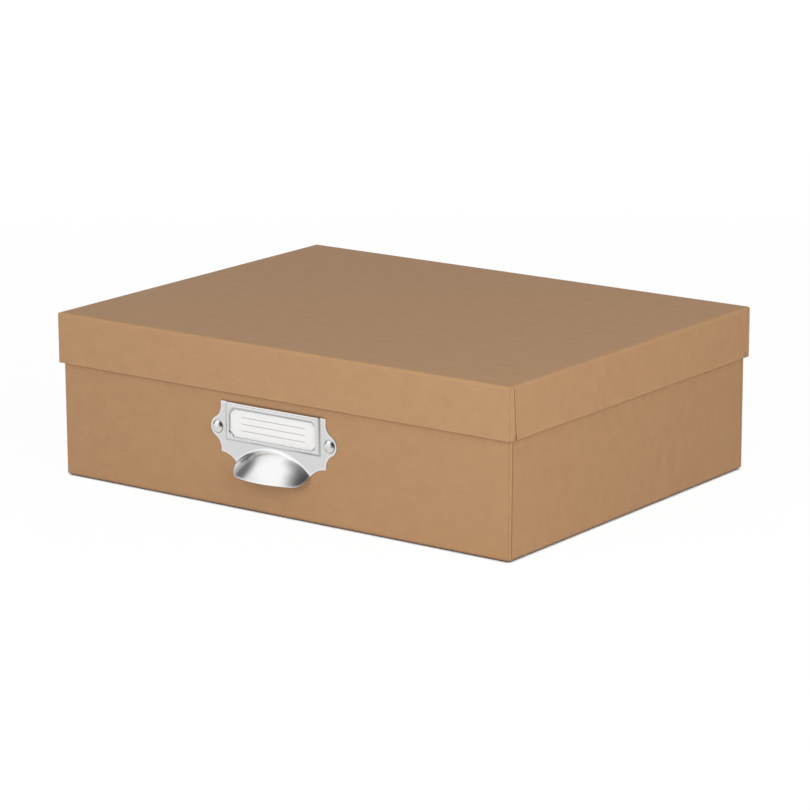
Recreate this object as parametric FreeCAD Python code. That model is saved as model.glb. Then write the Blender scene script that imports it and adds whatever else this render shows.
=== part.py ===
"""Document box with a lift-off lid, and a stamped label holder with a cup pull on its front.

Millimetres. +X runs along the box's length, +Z is up and the front faces -Y. The origin is the
centre of the base's underside, so the box stands on the plane z = 0.

The base and the lid are trays of greyboard, each a scored blank folded up at four mitred corners.
Paper stays hold the corners, kraft paper covers the outside and turns in over the edges, and a
lining paper covers the inside. The lid's lining rests on the rim of the base.
"""
import FreeCAD, Part
import math
import os

V = FreeCAD.Vector

# ---- Driving dimensions -------------------------------------------------------------------------
# The closed box
lid_length = 330.0        # outside of the lid, along X
lid_width = 254.0         # outside of the lid, along Y
box_height = 100.5        # underside of the base to the top of the lid
skirt_height = 31.0       # top of the lid to the lower edge of its skirt

# Board, paper and fits
board_t = 1.6             # greyboard
paper_t = 0.2             # covering and lining papers
lid_gap = 0.4             # all round, from the base's outside to the skirt's inside
fold_radius = 2.2         # outside radius of the folds round the closed end
corner_radius = 1.3       # outside radius of the upright corners, where cut edges meet
kerf = 0.2                # open joint between two walls at a corner of a blank
base_turn_in = 20.0       # covering paper turned down inside the base's walls
liner_drop = 4.0          # lining's upper edge below the base's rim
lid_liner_margin = 0.5    # lid lining's edge to the skirt's inside

# Corner stays, pressed flush into the board
stay_t = 0.12
stay_leg = 12.0           # on each wall, from the corner
stay_margin = 3.0         # stay's ends to the ends of the corner joint

# Label holder: one sheet of steel. Its heights are measured down from its top edge.
sheet_t = 0.6
holder_x = -2.6           # holder's centre line
holder_drop = 6.0         # lid's lower edge to the holder's top edge
flange_half = 38.4        # half width of the flange between its lobes
lobe_reach = 46.0         # centre line to the tip of a lobe
lobe_radius = 6.4
cove_radius = 8.0         # hollow curve that leads from the flange's edge into a lobe
lobe_below_top = 15.9
edge_below_cove = 1.9     # straight edge from the lower cove to the flange's lower corner
scallop_depth = 1.3       # hollow of the lower edge between that corner and the pull

# Raised frame of the holder, and the window in it
frame_half = 34.5         # at the foot of its sloping sides
frame_height = 22.7       # from the holder's top edge, which is open for the card, to the foot
frame_raise = 1.0         # above the flange
frame_slope = 1.2         # run of the sloping sides, seen from the front
window_half = 31.2
window_below_top = 3.9
window_height = 16.1
window_chamfer = 3.0

# Cup pull: an arc turned about a line square to the wall
pull_below_frame = 1.8    # frame's lower edge to the top of the arch
pull_radius = 39.0        # arch where the cup meets the flange
pull_half = 27.2          # half width of the cup
pull_height = 16.6        # top of the arch to the lip
pull_reach = 14.3         # lip in front of the flange
pull_bulge = 1.75         # rise of the turned arc over its chord
lip_corner = 6.0          # corner radius of the cup as seen from the front
pull_fillet = 2.0         # where the cup runs out into the flange

# Card
card_t = 0.25
card_side_gap = 0.8       # card to each side of the holder's pocket
card_rest = 0.02          # card to the sloping floor of the pocket
card_back_gap = 0.05      # card to the wall
card_below_top = 0.6      # card's upper edge below the holder's top edge

# Rivets and washers
rivet_span = 81.9         # centre to centre
shank_radius = 1.5
hole_clearance = 0.1      # radial, round the shank
head_radius = 4.0
head_height = 2.2
washer_radius = 4.0
washer_t = 0.6
tail_radius = 2.4
tail_t = 0.7

# ---- Sizes that follow --------------------------------------------------------------------------
wall_stack = paper_t + board_t + paper_t     # board with paper on both sides
base_length = lid_length - 2 * (wall_stack + lid_gap)
base_width = lid_width - 2 * (wall_stack + lid_gap)
base_height = box_height - wall_stack
skirt_bottom = box_height - skirt_height
wall_y = -base_width / 2                     # outside of the base's front wall

holder_top = skirt_bottom - holder_drop
lobe_z = holder_top - lobe_below_top
frame_bottom = holder_top - frame_height
frame_front = sheet_t + frame_raise
pull_centre_z = frame_bottom - pull_below_frame - pull_radius
lip_z = frame_bottom - pull_below_frame - pull_height
hole_radius = shank_radius + hole_clearance
rivet_left_x = holder_x - rivet_span / 2
rivet_right_x = holder_x + rivet_span / 2
beyond = 5.0                                 # how far a cutting solid runs past what it cuts


# ---- Shared shapes ------------------------------------------------------------------------------
def centred_box(length, width, low, high):
    """Box centred on the Z axis, from height low to height high."""
    return Part.makeBox(length, width, high - low, V(-length / 2, -width / 2, low))


def edges_along(box, axis, height=None):
    """A box's four edges along an axis, or the two of them at one height."""
    run = [edge for edge in box.Edges if abs(edge.tangentAt(edge.FirstParameter).dot(axis)) > 0.5]
    return [edge for edge in run if height is None or abs(edge.CenterOfMass.z - height) < 1e-6]


def soft_box(length, width, low, high, corner, fold, soft_end):
    """Centred box with its upright edges rounded, and the edges of one end rounded as folds."""
    box = centred_box(length, width, low, high)
    upright = box.makeFillet(corner, edges_along(box, V(0, 0, 1)))
    long_folds = box.makeFillet(fold, edges_along(box, V(1, 0, 0), soft_end))
    short_folds = box.makeFillet(fold, edges_along(box, V(0, 1, 0), soft_end))
    return upright.common(long_folds).common(short_folds)


def ring(outer_length, outer_width, thickness, low, high):
    """Upright band of the given thickness inside a rectangle."""
    outer = centred_box(outer_length, outer_width, low, high)
    inner = centred_box(outer_length - 2 * thickness, outer_width - 2 * thickness, low, high)
    return outer.cut(inner)


def wall_rod(radius, x, z, outer, inner):
    """Rod square to the front wall, between two distances in front of its face (less is further in)."""
    return Part.makeCylinder(radius, outer - inner, V(x, wall_y - outer, z), V(0, 1, 0))


def front_prism(outline, outer, inner):
    """Prism square to the front wall; its outline is a list of edges in the plane y = 0."""
    face = Part.Face(Part.Wire(outline))
    face.translate(V(0, wall_y - outer, 0))
    return face.extrude(V(0, outer - inner, 0))


def fused(shapes):
    """One clean solid from pieces that meet face to face."""
    return shapes[0].multiFuse(shapes[1:]).removeSplitter()


# ---- Trays --------------------------------------------------------------------------------------
class Tray:
    """Envelope and cavity of a board tray, which the papers on both sides follow."""

    def __init__(self, length, width, closed_end, open_end):
        inward = 1 if open_end > closed_end else -1
        self.length = length - 2 * paper_t
        self.width = width - 2 * paper_t
        self.closed = closed_end + inward * paper_t
        self.open = open_end - inward * paper_t
        self.panel = self.closed + inward * board_t
        self.cavity_length = self.length - 2 * board_t
        self.cavity_width = self.width - 2 * board_t
        self.corner = corner_radius - paper_t
        self.fold = fold_radius - paper_t

    def body(self, inset=0.0):
        low, high = sorted((self.closed + math.copysign(inset, self.open - self.closed), self.open))
        soft_end = low if self.open > self.closed else high
        length = self.length - 2 * inset
        width = self.width - 2 * inset
        return soft_box(length, width, low, high, self.corner - inset, self.fold - inset, soft_end)

    def cavity(self):
        inward = math.copysign(beyond, self.open - self.closed)
        low, high = sorted((self.panel, self.open + inward))
        return centred_box(self.cavity_length, self.cavity_width, low, high)


def corner_stays(tray):
    """Four folded strips of stay paper, each let into the outside of one corner."""
    low, high = sorted((tray.panel, tray.open))
    skin = tray.body().cut(tray.body(stay_t))
    stays = {}
    for side, x_sign in (("left", -1), ("right", 1)):
        for end, y_sign in (("front", -1), ("back", 1)):
            reach = Part.makeBox(stay_leg + beyond, stay_leg + beyond, high - low - 2 * stay_margin)
            x = x_sign * tray.length / 2 - (stay_leg if x_sign > 0 else beyond)
            y = y_sign * tray.width / 2 - (stay_leg if y_sign > 0 else beyond)
            reach.translate(V(x, y, low + stay_margin))
            stays[end + "_" + side] = skin.common(reach)
    return stays


def corner_kerfs(tray):
    """Thin diagonal cuts that part the walls of the folded blank at its corners."""
    low, high = sorted((tray.panel, tray.open + math.copysign(beyond, tray.open - tray.closed)))
    run = 2 * board_t
    cuts = []
    for x_sign, y_sign in ((-1, -1), (-1, 1), (1, -1), (1, 1)):
        cut = Part.makeBox(2 * run, kerf, high - low, V(-run / 4, -kerf / 2, low))
        cut.rotate(V(0, 0, 0), V(0, 0, 1), math.degrees(math.atan2(y_sign, x_sign)))
        cut.translate(V(x_sign * tray.cavity_length / 2, y_sign * tray.cavity_width / 2, 0))
        cuts.append(cut)
    return cuts


def tray_board(tray, stays):
    """Greyboard tray with its corner joints open and its outside relieved for the stays."""
    board = tray.body().cut(tray.cavity())
    return board.cut(corner_kerfs(tray)).cut(list(stays.values()))


base = Tray(base_length, base_width, 0.0, base_height)
lid = Tray(lid_length, lid_width, box_height, skirt_bottom)
base_stays = corner_stays(base)
lid_stays = corner_stays(lid)


# ---- Base ---------------------------------------------------------------------------------------
def rivet_holes():
    """Cutting rods for the two rivets, through the holder and the whole wall."""
    outer = frame_front + beyond
    inner = -wall_stack - beyond
    return [wall_rod(hole_radius, x, lobe_z, outer, inner) for x in (rivet_left_x, rivet_right_x)]


def make_base_board():
    return tray_board(base, base_stays).cut(rivet_holes())


def make_base_wrap():
    """Covering paper: underside, walls, rim, and the turn-in down the inside of the walls."""
    outside = soft_box(base_length, base_width, 0.0, base_height, corner_radius, fold_radius, 0.0)
    shell = outside.cut(base.body())
    mouth = centred_box(
        base.cavity_length - 2 * paper_t, base.cavity_width - 2 * paper_t, base.open, base_height
    )
    turn_in = ring(
        base.cavity_length, base.cavity_width, paper_t, base_height - base_turn_in, base.open
    )
    return fused([shell.cut(mouth), turn_in]).cut(rivet_holes())


def make_base_liner():
    """Lining paper on the floor and up the walls, stepping in over the covering paper's turn-in."""
    turn_edge = base_height - base_turn_in
    floor = centred_box(base.cavity_length, base.cavity_width, base.panel, base.panel + paper_t)
    lower = ring(base.cavity_length, base.cavity_width, paper_t, base.panel, turn_edge)
    upper = ring(
        base.cavity_length - 2 * paper_t,
        base.cavity_width - 2 * paper_t,
        paper_t,
        turn_edge - paper_t,
        base_height - liner_drop,
    )
    return fused([floor, lower, upper]).cut(rivet_holes())


# ---- Lid ----------------------------------------------------------------------------------------
def make_lid_board():
    return tray_board(lid, lid_stays)


def make_lid_wrap():
    """Covering paper: top, skirt, lower edge, and the turn-in up the whole inside of the skirt."""
    outside = soft_box(
        lid_length, lid_width, skirt_bottom, box_height, corner_radius, fold_radius, box_height
    )
    shell = outside.cut(lid.body())
    mouth = centred_box(
        lid.cavity_length - 2 * paper_t, lid.cavity_width - 2 * paper_t, skirt_bottom, lid.open
    )
    turn_in = ring(lid.cavity_length, lid.cavity_width, paper_t, lid.open, lid.panel)
    return fused([shell.cut(mouth), turn_in])


def make_lid_liner():
    """Lining paper under the top, between the turned-in papers of the skirt."""
    inset = 2 * (paper_t + lid_liner_margin)
    return centred_box(
        lid.cavity_length - inset, lid.cavity_width - inset, lid.panel - paper_t, lid.panel
    )


# ---- Label holder -------------------------------------------------------------------------------
def holder_point(across, height):
    return V(holder_x + across, 0, height)


def arc(start, middle, end):
    return Part.Arc(start, middle, end).toShape()


def on_circle(centre, radius, angle):
    """Point of a circle in the wall's plane; angle in radians from +X towards +Z."""
    return holder_point(
        centre[0] + radius * math.cos(angle), centre[1] + radius * math.sin(angle)
    )


def pull_foot():
    """Where the arch of the pull runs out at the lower edge of the flange, on the right."""
    return (pull_half, pull_centre_z + math.sqrt(pull_radius ** 2 - pull_half ** 2))


def right_outline():
    """Edges of the flange's right half, from the middle of its top edge down to the pull."""
    lobe = (lobe_reach - lobe_radius, lobe_z)
    cove_x = flange_half + cove_radius
    rise = math.sqrt((cove_radius + lobe_radius) ** 2 - (cove_x - lobe[0]) ** 2)
    lean = math.atan2(rise, cove_x - lobe[0])
    upper_cove = (cove_x, lobe_z + rise)
    lower_cove = (cove_x, lobe_z - rise)
    joint = on_circle(lobe, lobe_radius, lean)
    lower_joint = on_circle(lobe, lobe_radius, -lean)
    shoulder = holder_point(flange_half, upper_cove[1])
    waist = holder_point(flange_half, lower_cove[1])
    corner = holder_point(flange_half, lower_cove[1] - edge_below_cove)
    foot = holder_point(*pull_foot())
    chord = foot - corner
    hollow = V(chord.z, 0, -chord.x).normalize() * scallop_depth
    scallop_middle = (corner + foot) * 0.5 + (hollow if hollow.z > 0 else hollow * -1)
    return [
        Part.LineSegment(holder_point(0, holder_top), holder_point(flange_half, holder_top)).toShape(),
        Part.LineSegment(holder_point(flange_half, holder_top), shoulder).toShape(),
        arc(shoulder, on_circle(upper_cove, cove_radius, math.pi + lean / 2), joint),
        arc(joint, on_circle(lobe, lobe_radius, 0), lower_joint),
        arc(lower_joint, on_circle(lower_cove, cove_radius, math.pi - lean / 2), waist),
        Part.LineSegment(waist, corner).toShape(),
        arc(corner, scallop_middle, foot),
        Part.LineSegment(foot, holder_point(0, foot.z)).toShape(),
    ]


def flange_outline():
    """Whole outline: the right half and its mirror image in the centre line."""
    right = right_outline()
    left = [edge.mirror(holder_point(0, 0), V(1, 0, 0)) for edge in right]
    return Part.__sortEdges__(right + left)


def rectangle_points(half, low, high):
    """Corners of a rectangle about the holder's centre line."""
    corners = ((half, low), (half, high), (-half, high), (-half, low))
    return [holder_point(*corner) for corner in corners]


def chamfered_points(half, low, high, chamfer):
    """Corners of such a rectangle with each of its four corners cut off."""
    right = [
        (half - chamfer, low),
        (half, low + chamfer),
        (half, high - chamfer),
        (half - chamfer, high),
    ]
    left = [(-across, height) for across, height in reversed(right)]
    return [holder_point(*corner) for corner in right + left]


def closed(points):
    return points + points[:1]


def frame_block(top, back):
    """The frame's outside with its sides sloping in, its foot at the given distance off the wall."""
    foot = Part.makePolygon(closed(rectangle_points(frame_half, frame_bottom, top)))
    face = Part.makePolygon(
        closed(rectangle_points(frame_half - frame_slope, frame_bottom + frame_slope, top))
    )
    foot.translate(V(0, wall_y - back, 0))
    face.translate(V(0, wall_y - back - frame_raise, 0))
    return Part.makeLoft([foot, face], True, True)


def frame_pocket():
    """Room for the card: the frame's outside moved back by the sheet, and open at the top."""
    return frame_block(holder_top + beyond, 0.0)


def frame_window():
    top = holder_top - window_below_top
    corners = chamfered_points(window_half, top - window_height, top, window_chamfer)
    return front_prism(Part.makePolygon(closed(corners)).Edges, frame_front + beyond, -beyond)


def pull_root(crown):
    """Fillet from the flange's face to the pull's outer arc: its start, middle and end."""
    height = sheet_t + pull_fillet
    reach = crown.Radius + pull_fillet
    run = math.sqrt(reach ** 2 - (height - crown.Center.z) ** 2)
    hub = V(crown.Center.x + run, 0, height)
    start = V(hub.x, 0, sheet_t)
    end = crown.Center + (hub - crown.Center) * (crown.Radius / reach)
    middle = hub + ((start + end) * 0.5 - hub).normalize() * pull_fillet
    return start, middle, end


def pull_section():
    """Section of the pull: X is the distance from the arch's centre and Z the depth off the wall."""
    rim = V(pull_radius, 0, sheet_t)
    edge = V(pull_radius - pull_height, 0, sheet_t + pull_reach)
    chord = edge - rim
    out = V(abs(chord.z), 0, abs(chord.x)).normalize()
    crest = (rim + edge) * 0.5 + out * pull_bulge
    inside = [point - out * sheet_t for point in (edge, crest, rim)]
    start, middle, end = pull_root(arc(rim, crest, edge).Curve)
    outline = [
        arc(start, middle, end),
        arc(end, crest, edge),
        Part.LineSegment(edge, inside[0]).toShape(),
        arc(*inside),
        Part.LineSegment(inside[2], start).toShape(),
    ]
    return Part.Face(Part.Wire(outline))


def make_cup():
    """Cup of the pull: its section turned about the arch's centre, trimmed to the front view."""
    section = pull_section()
    section.rotate(V(0, 0, 0), V(1, 0, 0), 90)
    section.translate(V(holder_x, wall_y, pull_centre_z))
    turned = section.revolve(V(holder_x, wall_y, pull_centre_z), V(0, -1, 0), 180)
    cup = front_prism(lip_outline(), sheet_t + pull_reach + beyond, -beyond)
    root = front_prism(flange_outline(), sheet_t + pull_fillet, -beyond)
    return turned.common(fused([cup, root]))


def lip_outline():
    """Front view of the cup: upright sides, rounded lower corners, and a top clear of the arch."""
    top = pull_centre_z + pull_radius + beyond
    low = lip_z + lip_corner
    inner = pull_half - lip_corner
    slant = lip_corner * math.sqrt(0.5)
    middle = (inner + slant, low - slant)
    return [
        Part.LineSegment(holder_point(-pull_half, top), holder_point(pull_half, top)).toShape(),
        Part.LineSegment(holder_point(pull_half, top), holder_point(pull_half, low)).toShape(),
        arc(holder_point(pull_half, low), holder_point(*middle), holder_point(inner, lip_z)),
        Part.LineSegment(holder_point(inner, lip_z), holder_point(-inner, lip_z)).toShape(),
        arc(
            holder_point(-inner, lip_z),
            holder_point(-middle[0], middle[1]),
            holder_point(-pull_half, low),
        ),
        Part.LineSegment(holder_point(-pull_half, low), holder_point(-pull_half, top)).toShape(),
    ]


def make_label_holder():
    """Flange, raised frame and cup pull, pressed from one sheet."""
    flange = front_prism(flange_outline(), sheet_t, 0.0)
    mouth = wall_rod(pull_radius - sheet_t, holder_x, pull_centre_z, sheet_t + beyond, -beyond)
    frame = frame_block(holder_top, sheet_t).cut(frame_pocket())
    flange = flange.cut([frame_pocket(), mouth])
    holder = fused([flange, frame, make_cup()])
    return holder.cut([frame_window()] + rivet_holes())


def make_label_card():
    """Card standing on the floor of the holder's pocket, just off the wall."""
    front = card_back_gap + card_t
    taper = frame_slope * front / frame_raise
    low = frame_bottom + taper + card_rest
    half = frame_half - taper - card_side_gap
    outline = closed(rectangle_points(half, low, holder_top - card_below_top))
    return front_prism(Part.makePolygon(outline).Edges, front, card_back_gap)


# ---- Rivets and washers -------------------------------------------------------------------------
def make_rivet(x):
    """Dome head on the flange, shank through the wall, tail clinched on the washer."""
    dome_radius = (head_radius ** 2 + head_height ** 2) / (2 * head_height)
    centre = V(x, wall_y - sheet_t - head_height + dome_radius, lobe_z)
    head = Part.makeSphere(dome_radius, centre)
    head = head.common(wall_rod(head_radius, x, lobe_z, sheet_t + head_height + beyond, sheet_t))
    inner_face = -wall_stack - washer_t
    shank = wall_rod(shank_radius, x, lobe_z, sheet_t, inner_face)
    tail = wall_rod(tail_radius, x, lobe_z, inner_face, inner_face - tail_t)
    return fused([head, shank, tail])


def make_washer(x):
    disc = wall_rod(washer_radius, x, lobe_z, -wall_stack, -wall_stack - washer_t)
    return disc.cut(wall_rod(hole_radius, x, lobe_z, beyond, -wall_stack - washer_t - beyond))


# ---- Build --------------------------------------------------------------------------------------
nodes = {
    "base_board": make_base_board(),
    "base_wrap": make_base_wrap(),
    "base_liner": make_base_liner(),
    "lid_board": make_lid_board(),
    "lid_wrap": make_lid_wrap(),
    "lid_liner": make_lid_liner(),
    "label_holder": make_label_holder(),
    "label_card": make_label_card(),
    "rivet_left": make_rivet(rivet_left_x),
    "rivet_right": make_rivet(rivet_right_x),
    "washer_left": make_washer(rivet_left_x),
    "washer_right": make_washer(rivet_right_x),
}
for place, stay in base_stays.items():
    nodes["base_stay_" + place] = stay
for place, stay in lid_stays.items():
    nodes["lid_stay_" + place] = stay

os.makedirs("parts", exist_ok=True)
for name, shape in nodes.items():
    shape.exportStep("parts/" + name + ".step")
    print(name, "solids", len(shape.Solids), "valid", shape.isValid(), "volume", round(shape.Volume, 1))
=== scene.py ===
# %% [markdown]
# # A document box with a lift-off lid, a card holder and a cup pull
#
# The box is greyboard covered in brown kraft paper. Its lid slips over the base, and a holder of
# nickel-plated steel is riveted to the front. The CAD model fixes every size, and this script
# gives each visible piece its looks. Lengths are written in millimetres and turned into
# Blender's metres where a mesh is made.

# %% The fixed frame
from math import asin, atan2, cos, degrees, pi, radians, sin, sqrt

import bmesh
import bpy
import numpy as np
from mathutils import Matrix, Vector


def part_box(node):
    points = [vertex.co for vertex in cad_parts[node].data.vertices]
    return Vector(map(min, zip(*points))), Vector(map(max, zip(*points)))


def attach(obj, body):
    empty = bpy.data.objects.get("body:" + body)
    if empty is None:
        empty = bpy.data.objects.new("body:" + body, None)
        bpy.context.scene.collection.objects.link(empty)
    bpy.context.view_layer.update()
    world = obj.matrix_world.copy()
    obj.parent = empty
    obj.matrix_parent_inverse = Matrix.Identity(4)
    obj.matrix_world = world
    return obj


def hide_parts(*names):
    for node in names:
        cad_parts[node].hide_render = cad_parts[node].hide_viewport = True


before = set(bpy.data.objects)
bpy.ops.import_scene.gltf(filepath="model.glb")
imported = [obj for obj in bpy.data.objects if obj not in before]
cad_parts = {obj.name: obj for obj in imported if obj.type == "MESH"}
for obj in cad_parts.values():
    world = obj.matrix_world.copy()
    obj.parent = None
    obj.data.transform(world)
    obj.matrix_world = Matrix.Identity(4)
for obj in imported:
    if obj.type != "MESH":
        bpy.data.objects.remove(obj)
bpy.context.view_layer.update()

MM = 0.001

# %% [markdown]
# ## Sizes read from the frame
#
# A piece that stands for a CAD node has to lie where the node lies. So sizes are read from the
# frame's boxes, and only what a box can't tell, such as a fold's radius, is a number here.


# %% Sizes of boards and papers
def box_mm(node):
    """Lowest and highest corner of a CAD node, in millimetres."""
    low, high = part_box(node)
    return np.array(low) / MM, np.array(high) / MM


base_low, base_high = box_mm("base_wrap")
lid_low, lid_high = box_mm("lid_wrap")
board_low, _ = box_mm("base_board")
liner_low, liner_high = box_mm("base_liner")
holder_top = box_mm("label_holder")[1][2]

PAPER_T = board_low[2] - base_low[2]
WALL_T = liner_low[0] - board_low[0] + 2 * PAPER_T
WALL_Y = base_low[1]
FOLD_R = 2.2  # at a tray's closed end
CORNER_R, RIM_R = 1.3, 0.45
TURN_IN = 20.0  # paper glued down inside the wall
HOLDER_X, HOLDER_HALF = -2.6, 38.4  # middle, and half the width without the lobes
print(f"paper {PAPER_T:.2f} mm, covered wall {WALL_T:.2f} mm")

# %% [markdown]
# ## From a grid of points to a mesh
#
# Nearly every piece is a sheet that has been bent, so a grid suits it: one direction runs along
# the sheet and the other across it. numpy works out all the points at once, and the helpers join
# them with quads, merge those that meet at seams and poles, and turn the faces outwards.


# %% Grid helpers
def grid_quads(rows, columns, closed=False):
    """Corner numbers of a grid's quads. In a closed grid the last column joins the first."""
    number = np.arange(rows * columns).reshape(rows, columns)
    if closed:
        number = np.hstack([number, number[:, :1]])
    corners = (number[:-1, :-1], number[:-1, 1:], number[1:, 1:], number[1:, :-1])
    return np.stack(corners, -1).reshape(-1, 4)


def enclosed_volume(points, quads):
    """Sum over the quads of a corner times the cross products of its neighbours, over six."""
    a, b, c, d = points[quads.T]
    return np.einsum("ij,ij->", a, np.cross(b, c) + np.cross(c, d)) / 6


def in_scene(made):
    """Links an object to the scene and returns it."""
    bpy.context.scene.collection.objects.link(made)
    return made


def make_piece(name, points, quads, finish, uv=None, marks=None, sharp=40.0):
    """Mesh object from points in millimetres, with its doubles merged and its faces outwards."""
    if enclosed_volume(points, quads) < 0:
        quads = quads[:, ::-1]
        uv = None if uv is None else uv[:, ::-1]
    mesh = bpy.data.meshes.new(name)
    mesh.from_pydata((points * MM).tolist(), [], quads.tolist())
    if uv is not None:
        mesh.uv_layers.new(name="sheet").data.foreach_set("uv", (uv * MM).ravel())
    for mark, values in (marks or {}).items():
        mesh.attributes.new(mark, "FLOAT", "POINT").data.foreach_set("value", values.ravel())
    shape = bmesh.new()
    shape.from_mesh(mesh)
    bmesh.ops.remove_doubles(shape, verts=shape.verts, dist=0.002 * MM)
    shape.to_mesh(mesh)
    shape.free()
    mesh.shade_smooth()
    mesh.set_sharp_from_angle(angle=radians(sharp))
    mesh.materials.append(finish)
    print(name, "has", len(mesh.vertices), "points and", len(mesh.polygons), "faces")
    return in_scene(bpy.data.objects.new(name, mesh))


# %% [markdown]
# ## Shader maths as Python
#
# A material is a graph of nodes. The first class wraps one output of a node, so that `1 - mask` or
# `grain * 0.3 + cloud` adds the Math nodes it needs. Every other node comes from one method that
# takes a node's type, settings and sockets.


# %% Shader helpers
class Value:
    """One output of a node, for use as a number in a Python expression."""

    def __init__(self, graph, output):
        self.graph = graph
        self.output = output

    def math(self, operation, *numbers):
        """Adds a Math node of these numbers."""
        return self.graph.node("Math", {"operation": operation}, dict(enumerate(numbers)))

    def __add__(self, other):
        return self.math("ADD", self, other)

    def __sub__(self, other):
        return self.math("SUBTRACT", self, other)

    def __rsub__(self, other):
        return self.math("SUBTRACT", other, self)

    def __mul__(self, other):
        return self.math("MULTIPLY", self, other)

    def __abs__(self):
        return self.math("ABSOLUTE", self)

    def step(self, low, high):
        """Rises smoothly from 0 at low to 1 at high. With low above high it falls instead."""
        sockets = {"Value": self, "From Min": low, "From Max": high}
        return self.graph.node("MapRange", {"interpolation_type": "SMOOTHSTEP"}, sockets)

    __radd__ = __add__
    __rmul__ = __mul__


class Graph:
    """A node tree that is filled through one method."""

    def __init__(self, owner):
        owner.use_nodes = True
        self.owner = owner
        self.tree = owner.node_tree
        self.tree.nodes.clear()

    def node(self, kind, settings=None, sockets=None, output=0):
        """Adds a node of that type, sets it up, fills its sockets and returns one output."""
        made = self.tree.nodes.new("ShaderNode" + kind)
        for key, setting in (settings or {}).items():
            setattr(made, key, setting)
        for key, value in (sockets or {}).items():
            if isinstance(value, Value):
                self.tree.links.new(value.output, made.inputs[key])
            else:
                made.inputs[key].default_value = value
        return Value(self, made.outputs[output]) if made.outputs else None

    def blend(self, factor, first, second):
        """A colour between two colours."""
        sockets = {0: factor, 6: first, 7: second}
        return self.node("Mix", {"data_type": "RGBA"}, sockets, 2)

    def place(self):
        """The piece's own coordinates, in metres."""
        return self.node("TexCoord", output="Object")

    def along(self, axis, way=None):
        """One part of a vector, or of the piece's own coordinates: axis 0, 1 or 2."""
        return self.node("SeparateXYZ", {}, {"Vector": way or self.place()}, axis)


class Finish(Graph):
    """A material in the making. Its patterns are placed in millimetres."""

    def __init__(self, name, sheet=False):
        super().__init__(bpy.data.materials.new(name))
        self.sheet = sheet

    def cells(self, turn, size):
        """Coordinates on the flat sheet, or in the piece, in cells of that size, turned about Z."""
        source = self.node("UVMap", {"uv_map": "sheet"}) if self.sheet else self.place()
        size = [MM * length for length in size]
        sockets = {"Vector": source, "Rotation": (0, 0, radians(turn)), "Scale": size}
        return self.node("Mapping", {"vector_type": "TEXTURE"}, sockets)

    def noise(self, turn, size, detail=2.0, roughness=0.5):
        """Soft noise between 0 and 1, about 0.5 in the mean."""
        sockets = {"Vector": self.cells(turn, size), "Scale": 1, "Detail": detail}
        return self.node("TexNoise", {}, {**sockets, "Roughness": roughness})

    def strands(self, turn, size, width):
        """Thin wandering lines: where a stretched noise passes through its middle value."""
        return abs(self.noise(turn, size, 1, 0.4) - 0.5).step(width, 0.3 * width)

    def mark(self, name):
        """A value kept at the points of the mesh."""
        return self.node("Attribute", {"attribute_name": name}, output="Fac")

    def done(self, colour, roughness, height, depth, strength, **uniform):
        """The material, as a Principled shader with a relief of that depth in mm from a height."""
        bump = {"Height": height, "Distance": depth * MM, "Strength": strength}
        sockets = {"Base Color": colour, "Roughness": roughness,
                   "Normal": self.node("Bump", {}, bump)}
        named = {key.replace("_", " "): value for key, value in uniform.items()}
        shader = self.node("BsdfPrincipled", {}, {**sockets, **named})
        self.node("OutputMaterial", {}, {"Surface": shader})
        return self.owner


def written(red, green, blue):
    """Linear colour of a colour written as 0 to 255, by the sRGB curve."""
    c = np.array([red, green, blue]) / 255
    return (*np.where(c <= 0.04045, c / 12.92, ((c + 0.055) / 1.055) ** 2.4).tolist(), 1.0)


def grey(level):
    """Grey of a linear level, where 1 is white."""
    return (level, level, level, 1)


# %% [markdown]
# ## Kraft paper
#
# Kraft paper is unbleached pulp. Close up it is a mat of fibres that mostly lie along the paper
# machine's direction, with soft clouds where the pulp lay thicker and a few dark specks of bark.
# A picture of paper would repeat, so each of these gets a noise of its own size, and the specks
# are Voronoi cells. Marks kept at the mesh's points darken the seams, partly as the dark cut edge
# and partly as painted shade, and lighten the folds, partly as wear and partly as painted light.
# The lid's paper is painted paler than the base's, as painted light, and a painted shadow line
# lies above the holder.

# %% Kraft finish
KRAFT_DARK = written(148, 108, 71)
KRAFT_LIGHT = written(196, 154, 111)
# Partly painted shade: the seam's brown, and the notch's darker brown for the shade in an open gap.
SEAM_AND_SHADE_BROWN = written(104, 68, 42)
NOTCH_SHADE_BROWN = written(84, 38, 24)
# A painted shade brown: the shadow line above the holder and the floor's contact shadow.
PAINTED_SHADE_BROWN = written(70, 48, 32)


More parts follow.
